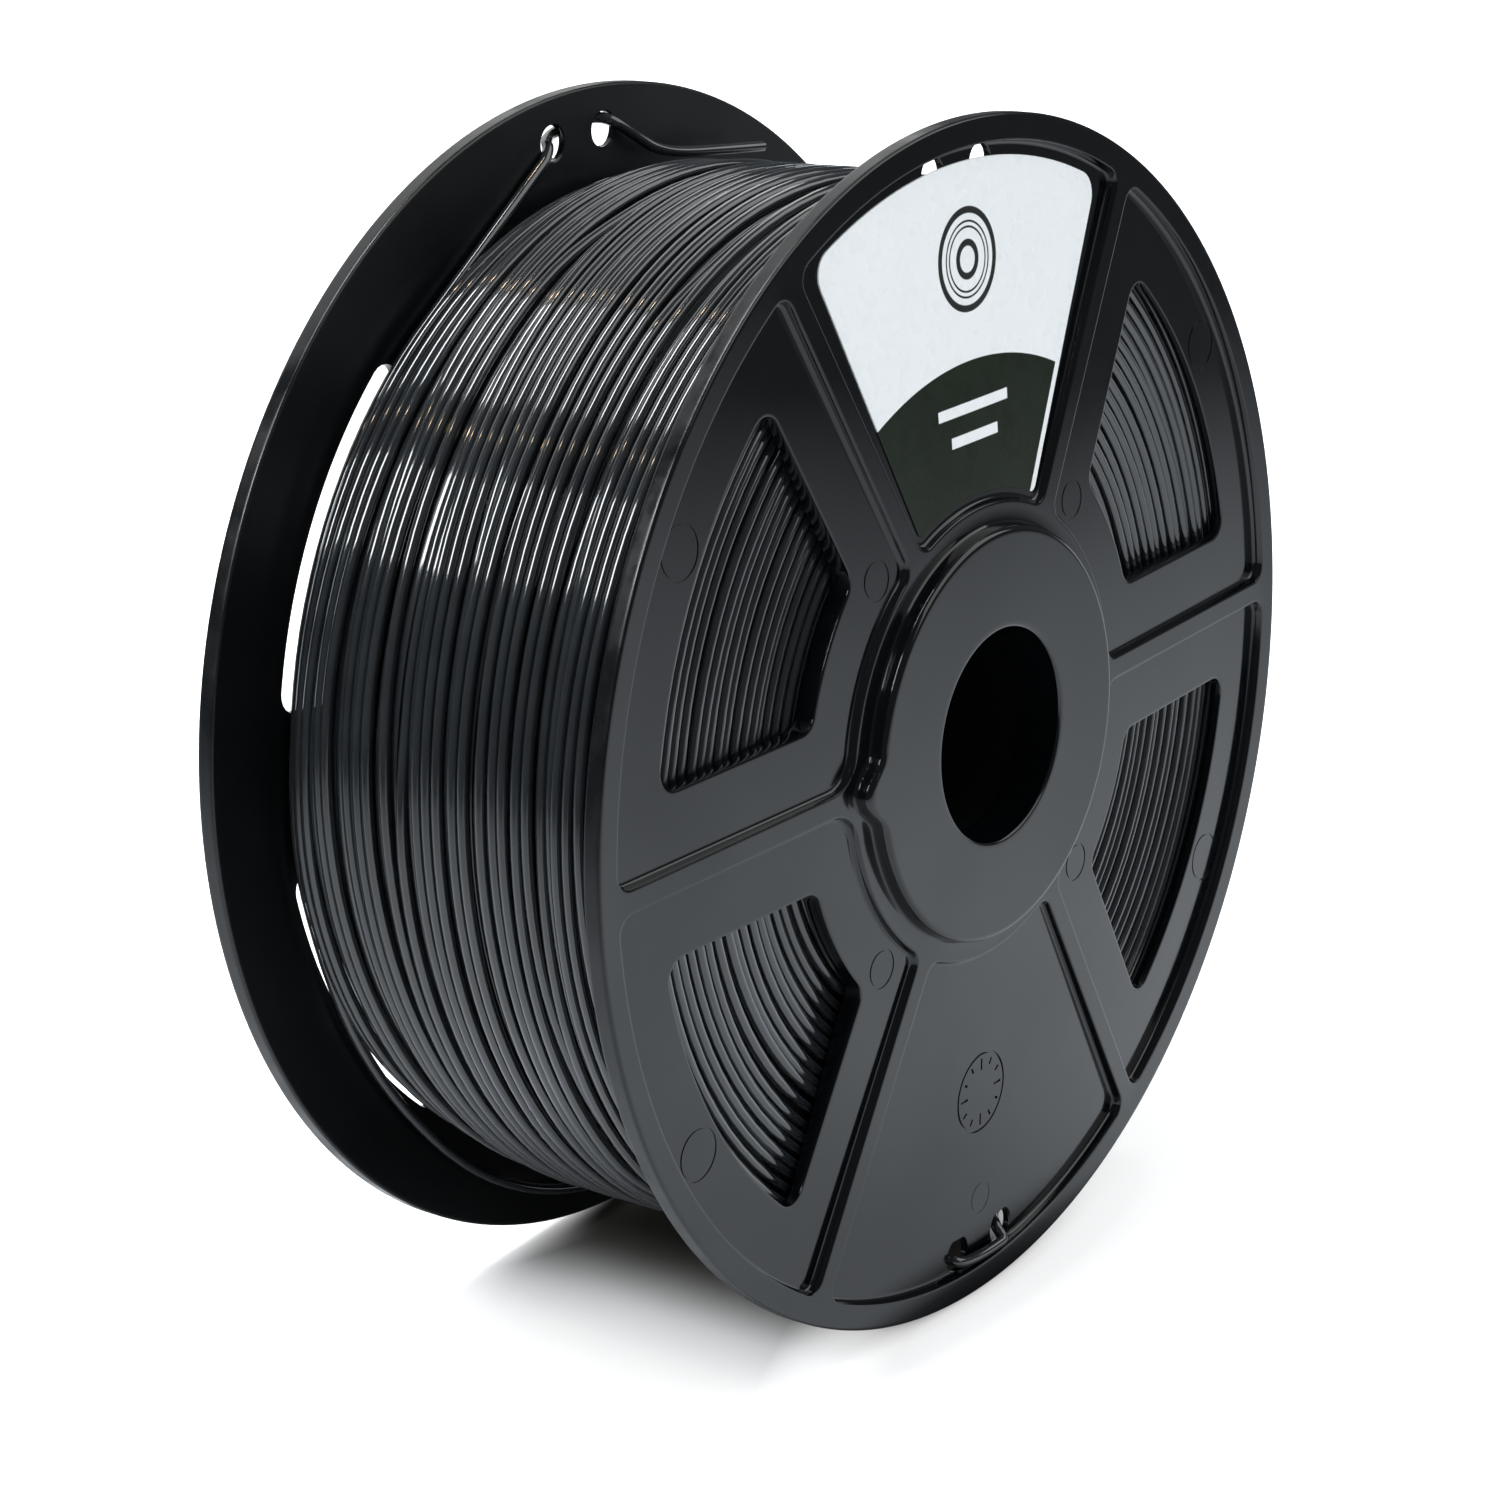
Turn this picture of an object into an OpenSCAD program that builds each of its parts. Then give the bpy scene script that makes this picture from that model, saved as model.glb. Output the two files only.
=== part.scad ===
// Filament spool: two moulded flanges, a drum between them, the wound filament and its label.
// Millimetres. The spool's axis runs along Y, +Z is up, and the origin is the middle of the bore.
// The front flange, with the label, faces -Y. The rear flange is the same moulding, turned half a
// turn about Z. Each flange is drawn flat, with its inner face at z = 0 and its outside upwards.

/* [Flanges] */
// Outside diameter of each flange
flange_d = 180; // [160:1:210]
// Distance from the outer face of one rim to the outer face of the other
rim_span = 71; // [60:0.5:85]
// Thickness of the rim
rim_t = 2.8; // [2.4:0.1:4]
// Width of the rim's flat face
rim_w = 4; // [3:0.25:5]
// Rounding of the rim's two edges
rim_edge_r = 0.4; // [0.2:0.1:0.8]
// Depth of the pockets at the rim, below the rim's face
pocket_depth_rim = 1.6; // [1:0.1:1.8]
// Depth of the pockets at the hub, below the ledge
pocket_depth_hub = 1.2; // [0.6:0.1:1.8]
// Width of the six ribs between the pockets
rib_w = 3.4; // [2:0.2:6]
// Rounding of the pockets' corners, seen from the front
pocket_corner_r = 2; // [1:0.25:4]

/* [Hub] */
// Diameter of the bore
bore_d = 32; // [24:0.5:36]
// Wall of the bore tube
bore_wall = 2.5; // [2:0.25:4]
// Diameter of the hub disc
hub_d = 62; // [56:1:66]
// Height of the hub disc above the rim's face
hub_rise = 4.5; // [3.5:0.25:6]
// Height of the ledge round the hub above the rim's face
ledge_rise = 1.9; // [1:0.1:2.5]
// Width of the ledge round the hub
ledge_w = 2.4; // [1.5:0.1:3]
// Slope run of the pocket's inner wall
ledge_wall_run = 1.9; // [1:0.1:2.5]
// Rounding of the hub disc's edge
hub_edge_r = 0.9; // [0.4:0.1:1.2]
// Rounding of the bore's mouth
bore_edge_r = 0.4; // [0.2:0.1:0.8]
// Reach of the locating nose beside one rib, beyond the hub disc
nose_out = 3.6; // [2:0.2:4]
// How much lower the nose is than the hub disc
nose_drop = 0.25; // [0.1:0.05:0.5]
// Angle from the nose's middle to its foot
nose_half_angle = 10.5; // [8:0.5:14]

/* [Windows] */
// Distance from the flange's edge to a window's outer side
window_edge = 14; // [12:0.5:20]
// Radius of a window's inner side
window_inner_r = 43.6; // [42:0.2:50]
// Distance from a rib's middle line to a window's straight side
window_side = 11.8; // [9:0.2:15]
// Rounding of a window's corners
window_corner_r = 3; // [1.5:0.25:5]

/* [Tie holes] */
// Diameter of the holes that hold the filament's ends
tie_hole_d = 5.4; // [4.6:0.1:5.6]
// Distance from the flange's edge to the middle of a tie hole
tie_hole_edge = 6.8; // [6.8:0.1:8]
// Distance between the two holes of a pair
tie_hole_pitch = 12.2; // [11:0.2:14]
// How far round the front flange's tie holes lie from the label's middle line, in degrees
front_tie_turn = 0.35; // [-1:0.05:1]
// The same for the rear flange, also seen from the front
rear_tie_turn = 1.2; // [-1:0.05:1.5]

/* [Barrel] */
// Outside diameter of the barrel that the filament is wound on
barrel_d = 72; // [70:1:80]
// Wall of the barrel
barrel_wall = 2.4; // [1.6:0.2:3]
// Height of each flange's collar inside the barrel
collar_h = 5; // [3:0.5:8]
// Wall of the collar
collar_wall = 1.8; // [1.2:0.2:2.4]

/* [Filament] */
// Diameter of the filament
strand_d = 1.75; // [1.6:0.05:1.9]
// Depth of the empty channel above the middle of the winding
channel_depth = 10; // [8:0.5:20]
// How much lower the winding lies beside the rear flange than at its middle
crown = 5; // [1:0.5:7]
// The same beside the front flange, where the winder turned back higher up
front_crown = 1.5; // [1:0.5:7]
// Turns of the outer layer
turns = 24; // [18:1:24]
// How far the last turn hangs off the winding at its lowest
slack = 10; // [0:0.5:10]

/* [Label] */
// Thickness of the label
label_t = 0.25; // [0.15:0.05:0.4]
// Distance from the flange's edge to the label's outer side
label_edge = 6.1; // [5.9:0.1:10]
// Gap between the label and the pocket's inner wall
label_gap = 0.7; // [0.4:0.1:3]
// Angle from the label's middle line to its straight sides
label_half_angle = 26.8; // [22:0.2:27]
// Distance that the label's sides lie inside that angle's line
label_inset = 1.35; // [0:0.05:3]
// Rounding of the label's outer corners
label_corner_r = 3.5; // [1.5:0.25:5]

/* [Clearances] */
// Gap between pieces that fit round each other
fit_gap = 0.3; // [0.2:0.05:0.4]
// Gap between the barrel's end and each flange
seat_gap = 0.15; // [0.1:0.05:0.3]
// Gap between the filament and the flanges
side_gap = 0.4; // [0.3:0.05:0.8]

/* [Hidden] */
$fn = 96;
eps = 0.01;
blend = 0.02;                                 // keeps a rounded corner from only grazing its sides
over = 20;                                    // how far a cutter reaches past what it cuts

ribs = 6;
rib_step = 360 / ribs;
label_angle = 90;                             // the label's pocket points up
flange_r = flange_d / 2;
inner_half = rim_span / 2 - rim_t;            // from the origin to a flange's inner face
rim_in_r = flange_r - rim_w;
hub_r = hub_d / 2;
bore_r = bore_d / 2;
tube_r = bore_r + bore_wall;
ledge_r = hub_r + ledge_w;
pocket_in_r = ledge_r + ledge_wall_run;
ledge_z = rim_t + ledge_rise;
hub_z = rim_t + hub_rise;
floor_rim_z = rim_t - pocket_depth_rim;
floor_hub_z = ledge_z - pocket_depth_hub;
floor_slope = (floor_hub_z - floor_rim_z) / (rim_in_r - pocket_in_r);
window_out_r = flange_r - window_edge;
tie_hole_r = flange_r - tie_hole_edge;
tie_half_angle = asin(tie_hole_pitch / 2 / tie_hole_r);
nose_ledge_more = 2;                          // degrees that the ledge reaches past the nose's foot

barrel_r = barrel_d / 2;
barrel_in_r = barrel_r - barrel_wall;
collar_r = barrel_in_r - fit_gap;
spigot_wall = 1;
spigot_h = 3;

strand_r = strand_d / 2;
wound_r = flange_r - channel_depth;
ring_step = 15;                               // degrees between two rings of the wound tube
wound_end_y = inner_half - side_gap - strand_r;

// Height of a pocket's floor above the flange's inner face, at radius r
function floor_z(r) = floor_rim_z + (rim_in_r - r) * floor_slope;
// Radius of the outer layer's middle line, at distance y along the axis
function wound_mid_r(y) =
    wound_r - strand_r - (y < 0 ? front_crown : crown) * pow(abs(y) / wound_end_y, 4);
// Radius of the plain core just under the outer layer, whose rings are chords of the circle
function core_r(y) = wound_mid_r(y) * cos(ring_step / 2) - strand_r - fit_gap;
function polar(r, a) = [r * cos(a), r * sin(a)];
function arc(c, r, a0, a1, n) = [for (i = [0:n]) c + polar(r, a0 + (a1 - a0) * i / n)];

// ---- Flange ----

// A ring sector about +x with rounded corners. Its straight sides run at half_angle, and lie
// inset inside the lines through the centre.
module rounded_sector(r_in, r_out, half_angle, inset, corner_out, corner_in) {
    apex = [inset / sin(half_angle), 0];
    reach = 2 * r_out;
    difference() {
        intersection() {
            difference() {
                circle(r_out);
                circle(r_in);
            }
            polygon([apex, apex + polar(reach, -half_angle), apex + polar(reach, half_angle)]);
        }
        for (side = [-1, 1])
            mirror([0, side < 0 ? 1 : 0]) {
                sector_corner(r_out - corner_out, half_angle, inset, corner_out, 1);
                sector_corner(r_in + corner_in, half_angle, inset, corner_in, -1);
            }
    }
}

// What a rounded corner takes off: outwards is 1 at the outer arc and -1 at the inner one
module sector_corner(centre_r, half_angle, inset, corner, outwards) {
    a = half_angle - asin((inset + corner) / centre_r);
    centre = polar(centre_r, a);
    to_side = polar(corner, half_angle + 90);
    to_arc = outwards * polar(corner, a);
    difference() {
        polygon([centre, centre + to_side, centre + 2 * (to_side + to_arc), centre + to_arc]);
        translate(centre) circle(corner + blend);
    }
}

// The locating nose on the -x side of a disc of radius r, rooted a little inside the disc
module nose_outline(r, out, half_angle) {
    steps = 12;
    root = 0.3;
    inside = bore_wall + root;
    polygon(concat(
        [for (i = [-steps:steps]) polar(r - root + (out + root) * pow(cos(90 * i / steps), 2),
                                        180 + half_angle * i / steps)],
        [polar(r - inside, 180 + half_angle), polar(r - inside, 180 - half_angle)]));
}

// Rim, ribs, ledge, hub, collar and half of the bore tube as one turned shape, before the pockets
// are cut. The front flange's tube ends in a spigot, which enters the rear one's socket.
module flange_blank(spigot) {
    e = rim_edge_r;
    end_z = -(inner_half - seat_gap);
    socket_r = bore_r + spigot_wall + seat_gap;
    socket_z = end_z + spigot_h + seat_gap + fit_gap;
    tube_end = spigot
        ? [[bore_r, end_z - spigot_h], [bore_r + spigot_wall, end_z - spigot_h],
           [bore_r + spigot_wall, end_z], [tube_r, end_z]]
        : [[bore_r, socket_z], [socket_r, socket_z], [socket_r, end_z], [tube_r, end_z]];
    rotate_extrude()
        polygon(concat(
            tube_end,
            [[tube_r, 0], [collar_r - collar_wall, 0], [collar_r - collar_wall, -collar_h],
             [collar_r, -collar_h], [collar_r, 0]],
            arc([flange_r - e, e], e, -90, 0, 2),
            arc([flange_r - e, rim_t - e], e, 0, 90, 2),
            [[rim_in_r, rim_t], [ledge_r, ledge_z], [hub_r, ledge_z]],
            arc([hub_r - hub_edge_r, hub_z - hub_edge_r], hub_edge_r, 0, 90, 4),
            arc([bore_r + bore_edge_r, hub_z - bore_edge_r], bore_edge_r, 90, 180, 2)));
}

// The six pockets, from their sloping floor upwards
module pocket_cuts() {
    intersection() {
        rotate_extrude()
            polygon([[ledge_r, floor_z(ledge_r)], [flange_r, floor_z(flange_r)],
                     [flange_r, over], [ledge_r, over]]);
        difference() {
            for (i = [0:ribs - 1])
                rotate(i * rib_step + rib_step / 2)
                    linear_extrude(over)
                        rounded_sector(pocket_in_r, rim_in_r, rib_step / 2, rib_w / 2,
                                       pocket_corner_r, pocket_corner_r);
            linear_extrude(over)
                nose_outline(pocket_in_r, nose_out, nose_half_angle + nose_ledge_more);
        }
    }
}

// The four windows, two on each side of the label's and the bottom pocket
module window_cuts() {
    for (side = [-1, 1], up = [-1, 1])
        rotate(90 - side * (90 - up * rib_step / 2))
            translate([0, 0, -over])
                linear_extrude(2 * over)
                    rounded_sector(window_inner_r, window_out_r, rib_step / 2, window_side,
                                   window_corner_r, window_corner_r);
}

// A pair of tie holes in the label's pocket and a pair in the pocket below
module tie_hole_cuts(turn) {
    for (pair = [label_angle, -label_angle], side = [-1, 1])
        rotate(pair + turn + side * tie_half_angle)
            translate([tie_hole_r, 0, -over])
                cylinder(h = 2 * over, d = tie_hole_d);
}

module flange(spigot, tie_turn) {
    difference() {
        union() {
            flange_blank(spigot);
            translate([0, 0, rim_t])
                linear_extrude(hub_rise - nose_drop)
                    nose_outline(hub_r, nose_out, nose_half_angle);
        }
        pocket_cuts();
        window_cuts();
        tie_hole_cuts(tie_turn);
    }
}

// Stands a flat-drawn piece at the front of the spool, facing -Y
module at_front() {
    translate([0, -inner_half, 0]) rotate([90, 0, 0]) children();
}

module front_flange() {
    color([0.13, 0.14, 0.15]) at_front() flange(true, front_tie_turn);
}

module rear_flange() {
    color([0.13, 0.14, 0.15]) rotate([0, 0, 180]) at_front() flange(false, -rear_tie_turn);
}

// ---- Barrel and filament ----

module barrel() {
    half = inner_half - seat_gap;
    color([0.10, 0.11, 0.12])
        rotate([90, 0, 0])
            translate([0, 0, -half])
                linear_extrude(2 * half)
                    difference() {
                        circle(barrel_r);
                        circle(barrel_in_r);
                    }
}

// The inner layers as one plain turned body, crowned under the outer layer. Its side faces lie at
// the middle of the turns that rest against the flanges.
module filament_core() {
    half = wound_end_y;
    in_r = barrel_r + fit_gap;
    steps = 14;
    // The turn below sends the profile's own height to -Y
    top = [for (i = [0:steps]) let (y = half * (1 - 2 * i / steps)) [core_r(-y), y]];
    color([0.25, 0.26, 0.27])
        rotate([90, 0, 0])
            rotate_extrude()
                polygon(concat([[in_r, half]], top, [[in_r, -half]]));
}

function unit(v) = v / norm(v);
function point_at(r, a, y) = [r * cos(a), y, r * sin(a)];

// Middle of two neighbouring directions at each point of a path
function directions(path) = [for (i = [0:len(path) - 1])
    unit(path[min(i + 1, len(path) - 1)] - path[max(i - 1, 0)])];

// One tube along a path: a ring of sides points at each path point, carried along without twist
module tube(path, r, sides) {
    dirs = directions(path);
    seed = unit(cross(dirs[0], abs(dirs[0][1]) < 0.9 ? [0, 1, 0] : [1, 0, 0]));
    normals = [for (i = 0, n = seed; i < len(path);
                    i = i + 1, n = i < len(path) ? unit(n - (n * dirs[i]) * dirs[i]) : n) n];
    points = [for (i = [0:len(path) - 1]) let (b = cross(dirs[i], normals[i]))
        for (k = [0:sides - 1])
            path[i] + r * (cos(k * 360 / sides) * normals[i] + sin(k * 360 / sides) * b)];
    last = (len(path) - 1) * sides;
    walls = [for (i = [0:len(path) - 2], k = [0:sides - 1])
        let (a = i * sides + k, b = i * sides + (k + 1) % sides)
        each [[a, b, b + sides], [a, b + sides, a + sides]]];
    ends = [for (k = [1:sides - 2]) each [[0, k + 1, k], [last, last + k, last + k + 1]]];
    polyhedron(points, [for (f = concat(walls, ends)) [f[2], f[1], f[0]]]);
}

// A smooth curve through hand-set points, steps pieces between two of them
function curve(p, steps) = [for (i = [0:len(p) - 2], s = [0:steps - 1])
    let (a = p[max(i - 1, 0)], b = p[i], c = p[i + 1], d = p[min(i + 2, len(p) - 1)], t = s / steps)
    0.5 * (2 * b + (c - a) * t + (2 * a - 5 * b + 4 * c - d) * t * t
           + (3 * b - a - 3 * c + d) * t * t * t)];

// The outer layer runs from the front flange to the rear one, clockwise seen from the front. Its
// last turn hangs slack below the spool, then leaves the winding for the first rear tie hole.
leave_angle = label_angle + rear_tie_turn + tie_half_angle
              + acos(wound_mid_r(wound_end_y) / tie_hole_r);
ring_count = turns * 360 / ring_step;
turn_pitch = 2 * wound_end_y / turns;
slack_low_angle = 266;                        // where the last turn hangs lowest
slack_half_angle = 74;                        // how far to each side of that it hangs free
function slack_at(a) = abs(a - slack_low_angle) < slack_half_angle
    ? slack * pow(cos(90 * (a - slack_low_angle) / slack_half_angle), 2) : 0;
wound_path = [for (i = [0:ring_count])
    let (left = (ring_count - i) * ring_step, y = wound_end_y - left * turn_pitch / 360,
         on_last = left < 360 ? slack_at(leave_angle + left) : 0)
    point_at(wound_mid_r(y) + on_last, leave_angle + left, y)];

// Middle heights of a strand that lies outside a flange, on a pocket's floor by the tie holes,
// and of one that lies just inside it
outside_y = inner_half + floor_z(tie_hole_r) + strand_r + seat_gap;
inside_y = inner_half - strand_r - side_gap;
hole_x = tie_hole_r * sin(tie_half_angle);
hole_z = tie_hole_r * cos(tie_half_angle);
hole_mid_y = inner_half + floor_z(tie_hole_r) / 2;

// The threaded ends are bent by hand, so their routes are set by eye: each row is a place beside a
// tie hole, given as offsets in units of a standard strand's bends
bend = strand_d / 1.75;
function turned(p, a) = [p[0] * cos(a) - p[2] * sin(a), p[1], p[0] * sin(a) + p[2] * cos(a)];

// Out through the first rear tie hole, back through the second, and on to the free end
tail_points = [for (p = [
    [-1, -3.6, inside_y, 0.25, -2.1],
    [-1, -1.35, inner_half, -0.1, -0.6],
    [-1, -0.3, hole_mid_y, 0.35, -0.05],
    [-1, 2.2, outside_y, 0, 0.6],
    [0, 0, outside_y, 0.1, 1.2],
    [1, -2.1, outside_y, 0, 1.6],
    [1, 0.2, hole_mid_y, 0.2, 1.65],
    [1, 1.9, inside_y, 0.3, 0.7],
    [1, 6.4, inside_y, -0.6, -2.4],
    [1, 9.4, inside_y, -1.4, -4.3],
    [1, 14.5, inside_y, -1.9, -5.8],
    [1, 24.1, inside_y, -2.4, -7.2],
    [1, 34, inside_y, -3.4, -8.4]])
    turned([p[0] * hole_x + p[1] * bend, p[2] + p[3] * bend, hole_z + p[4] * bend], rear_tie_turn)];
tail_path = concat(curve(tail_points, 4), [tail_points[len(tail_points) - 1]]);

// In and out through the front flange's two lower tie holes
start_points = [for (p = [
    [-1, -9, inside_y, -1.5, -1.6],
    [-1, -3, inside_y, -0.3, -0.2],
    [-1, -1.6, hole_mid_y, 0.1, 0.1],
    [-1, -1.2, outside_y, -0.3, 0.4],
    [-1, 0.6, outside_y, 0.1, 0.95],
    [-1, 3.2, outside_y, 0.1, 1.4],
    [0, 0, outside_y, 0.1, 1.65],
    [1, -2.6, outside_y, 0.1, 1.7],
    [1, -0.9, outside_y, 0, 1.6],
    [1, -0.7, outside_y, -0.6, 0.8],
    [1, -0.4, hole_mid_y, 0, -0.3],
    [1, 2.6, inside_y, -0.3, -0.6],
    [1, 8, inside_y, -1.5, -1.8]])
    turned([p[0] * hole_x + p[1] * bend, -p[2] - p[3] * bend, -hole_z - p[4] * bend],
           front_tie_turn)];
start_path = concat(curve(start_points, 4), [start_points[len(start_points) - 1]]);

// Least distance between two stretches of the wound strand, less its diameter
function to_segment(p, a, b) =
    let (t = max(0, min(1, (p - a) * (b - a) / ((b - a) * (b - a))))) norm(p - a - t * (b - a));
function least(v, i = 0, best = 1000) = i >= len(v) ? best : least(v, i + 1, min(best, v[i]));
loop_rings = 360 / ring_step;
turn_gap = least([for (i = [0:ring_count - loop_rings], k = [-1, 0])
    to_segment(wound_path[i], wound_path[i + loop_rings + k],
               wound_path[min(i + loop_rings + k + 1, ring_count)])]) - strand_d;
tail_gap = least([for (p = tail_path, i = [ring_count - 2 * loop_rings:ring_count - 3])
    to_segment(p, wound_path[i], wound_path[i + 1])]) - strand_d;
echo(least_gap_between_turns = turn_gap, least_gap_from_tail_to_turns = tail_gap);

module filament_outer_layer() {
    color([0.28, 0.29, 0.30]) tube(concat(wound_path, tail_path), strand_r, 6);
}

module filament_start() {
    color([0.28, 0.29, 0.30]) tube(start_path, strand_r, 8);
}

// ---- Label ----

// A thin sheet on the floor of the front flange's top pocket
module label() {
    in_r = pocket_in_r + label_gap;
    out_r = flange_r - label_edge;
    sheet_in_r = in_r - 1;
    sheet_out_r = out_r + 1;
    inner_corner_r = 1;
    color([0.85, 0.87, 0.87])
        at_front()
            intersection() {
                rotate_extrude()
                    translate([0, eps])
                        polygon([[sheet_in_r, floor_z(sheet_in_r)],
                                 [sheet_out_r, floor_z(sheet_out_r)],
                                 [sheet_out_r, floor_z(sheet_out_r) + label_t],
                                 [sheet_in_r, floor_z(sheet_in_r) + label_t]]);
                rotate(label_angle)
                    linear_extrude(over)
                        rounded_sector(in_r, out_r, label_half_angle, label_inset,
                                       label_corner_r, inner_corner_r);
            }
}

front_flange();
rear_flange();
barrel();
filament_core();
filament_outer_layer();
filament_start();
label();
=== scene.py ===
# %% [markdown]
# # A full filament spool
# This lesson dresses a spool of printer filament whose solids were made in a CAD program: two
# moulded flanges, a drum between them, about a kilogram of wound strand, and a label.
# The CAD solids are the frame. They fix every size and place, and the pieces made here stand for
# them with the moulded roundings, the separate turns of strand and the surface finishes.

# %% Load the frame
import math

import bmesh
import bpy
import numpy as np
from mathutils import Matrix, Vector


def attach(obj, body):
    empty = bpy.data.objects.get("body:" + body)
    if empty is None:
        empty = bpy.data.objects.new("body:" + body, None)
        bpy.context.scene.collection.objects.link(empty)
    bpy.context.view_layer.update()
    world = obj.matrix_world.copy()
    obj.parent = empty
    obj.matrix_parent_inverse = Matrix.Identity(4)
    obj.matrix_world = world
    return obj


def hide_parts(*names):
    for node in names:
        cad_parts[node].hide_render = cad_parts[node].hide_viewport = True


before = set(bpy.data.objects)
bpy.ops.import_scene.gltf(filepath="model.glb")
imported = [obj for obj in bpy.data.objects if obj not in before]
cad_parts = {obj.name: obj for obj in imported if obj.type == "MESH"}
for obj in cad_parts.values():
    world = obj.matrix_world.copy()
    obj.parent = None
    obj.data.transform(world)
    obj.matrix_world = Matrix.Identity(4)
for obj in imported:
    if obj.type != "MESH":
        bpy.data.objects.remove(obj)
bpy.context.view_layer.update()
print("CAD nodes:", ", ".join(sorted(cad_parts)))

# %% [markdown]
# ## The camera
# The camera stands to the left of the spool and a little above its middle, about 60 cm away. Its
# lens is long, so that the two round flanges keep their true proportions. It is rolled by under
# two degrees, so the label leans a little to the left, as if the spool had rolled that far.

# %% Camera
def new_object(name, data):
    """An object in the scene that shows the given data."""
    obj = bpy.data.objects.new(name, data)
    bpy.context.scene.collection.objects.link(obj)
    return obj


camera_data = bpy.data.cameras.new("camera")
camera_data.sensor_width = 36
camera_data.lens = 95.10
camera = new_object("camera", camera_data)
camera.location = (-0.46443, -0.33795, 0.18190)
camera.rotation_euler = [math.radians(a) for a in (71.622, 1.913, -54.106)]
bpy.context.scene.camera = camera
bpy.context.scene.view_settings.view_transform = "Standard"
print("the camera stands", round(camera.location.length, 2), "m away")

# %% [markdown]
# ## Values of the spool
# Everything below is modelled in millimetres, one unit to a millimetre, and made a thousand times
# smaller when a piece is finished. The operators' own small limits then do no harm to fine edges.
# The values are those of the CAD model, but the hub's face lies a hair lower, inside the solid's.

# %% Sizes in millimetres
MM = 0.001
FLANGE_R = 90
INNER_HALF = 32.7          # from the middle of the spool to a flange's inner face
RIM_T = 2.8
RIM_IN_R = 86              # outer wall of the pockets
LEDGE_Z = 4.7              # heights are above the flange's inner face
HUB_Z = 7.2999
HUB_R = 31
LEDGE_R = 33.4
BORE_R = 16
TUBE_R = 18.5
COLLAR_R, COLLAR_WALL, COLLAR_H = 33.3, 1.8, 5
BARREL_R = 36
RIBS = 6
RIB_W = 3.4
WINDOW_R = (43.6, 76)
WINDOW_SIDE = 11.8         # from a rib's middle line to a window's straight side
TIE_HOLE_R, TIE_HOLE_D, TIE_HALF_ANGLE = 83.2, 5.4, 4.21
TIE_TURN = {"front": 0.35, "rear": 1.2}   # how far round the holes lie, seen from the front
STRAND_R = 0.875


def top_height(r):
    """Height of the ribs' top at radius r: level on the rim, then rising towards the hub."""
    return RIM_T + max(0, RIM_IN_R - r) * (LEDGE_Z - RIM_T) / (RIM_IN_R - LEDGE_R)


def floor_height(r):
    """Height of a pocket's floor at radius r."""
    return 1.2 + (RIM_IN_R - r) * 2.3 / (RIM_IN_R - 35.3)


# %% [markdown]
# ## Working as by hand
# An operator acts on all that is selected, so each piece starts from an empty selection. A piece
# grows from one ring of edges: the ring is extruded, the new ring is laid on the next outline, and
# so on. Every wall, rounding and fillet is then a clean strip of four-sided faces.

# %% Small helpers for modelling
def deselect():
    """Leave edit mode with nothing selected."""
    if bpy.context.object and bpy.context.object.mode == "EDIT":
        bpy.ops.object.mode_set(mode="OBJECT")
    bpy.ops.object.select_all(action="DESELECT")


def pick(obj):
    """Make one object the only selected one."""
    deselect()
    obj.select_set(True)
    bpy.context.view_layer.objects.active = obj


def select_only(mesh, verts):
    """Select these vertices of the mesh in edit mode, and the edges between them."""
    bpy.ops.mesh.select_all(action="DESELECT")
    for vert in verts:
        vert.select = True
    mesh.select_flush(True)


def ring_strip(name, rings, cap_first=False, cap_last=False):
    """Extrude a ring of edges from each outline of (x, y, z) points to the next."""
    deselect()
    bpy.ops.mesh.primitive_circle_add(vertices=len(rings[0]), radius=1, fill_type="NOTHING")
    obj = bpy.context.object
    obj.name = obj.data.name = name
    bpy.ops.object.mode_set(mode="EDIT")
    mesh = bmesh.from_edit_mesh(obj.data)
    now = list(mesh.verts)
    for vert, place in zip(now, rings[0]):
        vert.co = place
    if cap_first:
        bpy.ops.mesh.select_all(action="SELECT")
        bpy.ops.mesh.edge_face_add()
    for ring in rings[1:]:
        count = len(mesh.verts)
        numbers = [vert.index for vert in now]
        select_only(mesh, now)
        bpy.ops.mesh.extrude_edges_move()
        mesh = bmesh.from_edit_mesh(obj.data)
        mesh.verts.ensure_lookup_table()
        mesh.verts.index_update()
        following = []
        for number, place in zip(numbers, ring):
            old = mesh.verts[number]
            new = next(e.other_vert(old) for e in old.link_edges if e.other_vert(old).index >= count)
            new.co = place
            following.append(new)
        now = following
    if cap_last:
        select_only(mesh, now)
        bpy.ops.mesh.edge_face_add()
    bmesh.update_edit_mesh(obj.data)
    deselect()
    return obj


def outward(obj, weld=0):
    """Turn every face outwards, once points that lie nearer together than weld are merged."""
    pick(obj)
    bpy.ops.object.mode_set(mode="EDIT")
    bpy.ops.mesh.select_all(action="SELECT")
    if weld:
        bpy.ops.mesh.remove_doubles(threshold=weld)
    bpy.ops.mesh.normals_make_consistent(inside=False)
    deselect()
    return obj


def joined(name, parts):
    """Join several meshes into one, weld what meets and turn every face outwards."""
    deselect()
    for part in parts:
        part.select_set(True)
    bpy.context.view_layer.objects.active = parts[0]
    bpy.ops.object.join()
    obj = bpy.context.object
    obj.name = obj.data.name = name
    return outward(obj, weld=0.002)


def placed(obj, turn=(0, 0, 0), place=(0, 0, 0), scale=1):
    """Turn, move or scale a piece, and take the change into its mesh."""
    pick(obj)
    obj.rotation_euler, obj.location, obj.scale = turn, place, (scale, scale, scale)
    bpy.ops.object.transform_apply(location=True, rotation=True, scale=True)


def polar(radius, angle, centre=(0, 0)):
    """The flat point at a distance and an angle from a centre."""
    return (centre[0] + radius * math.cos(angle), centre[1] + radius * math.sin(angle))


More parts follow.
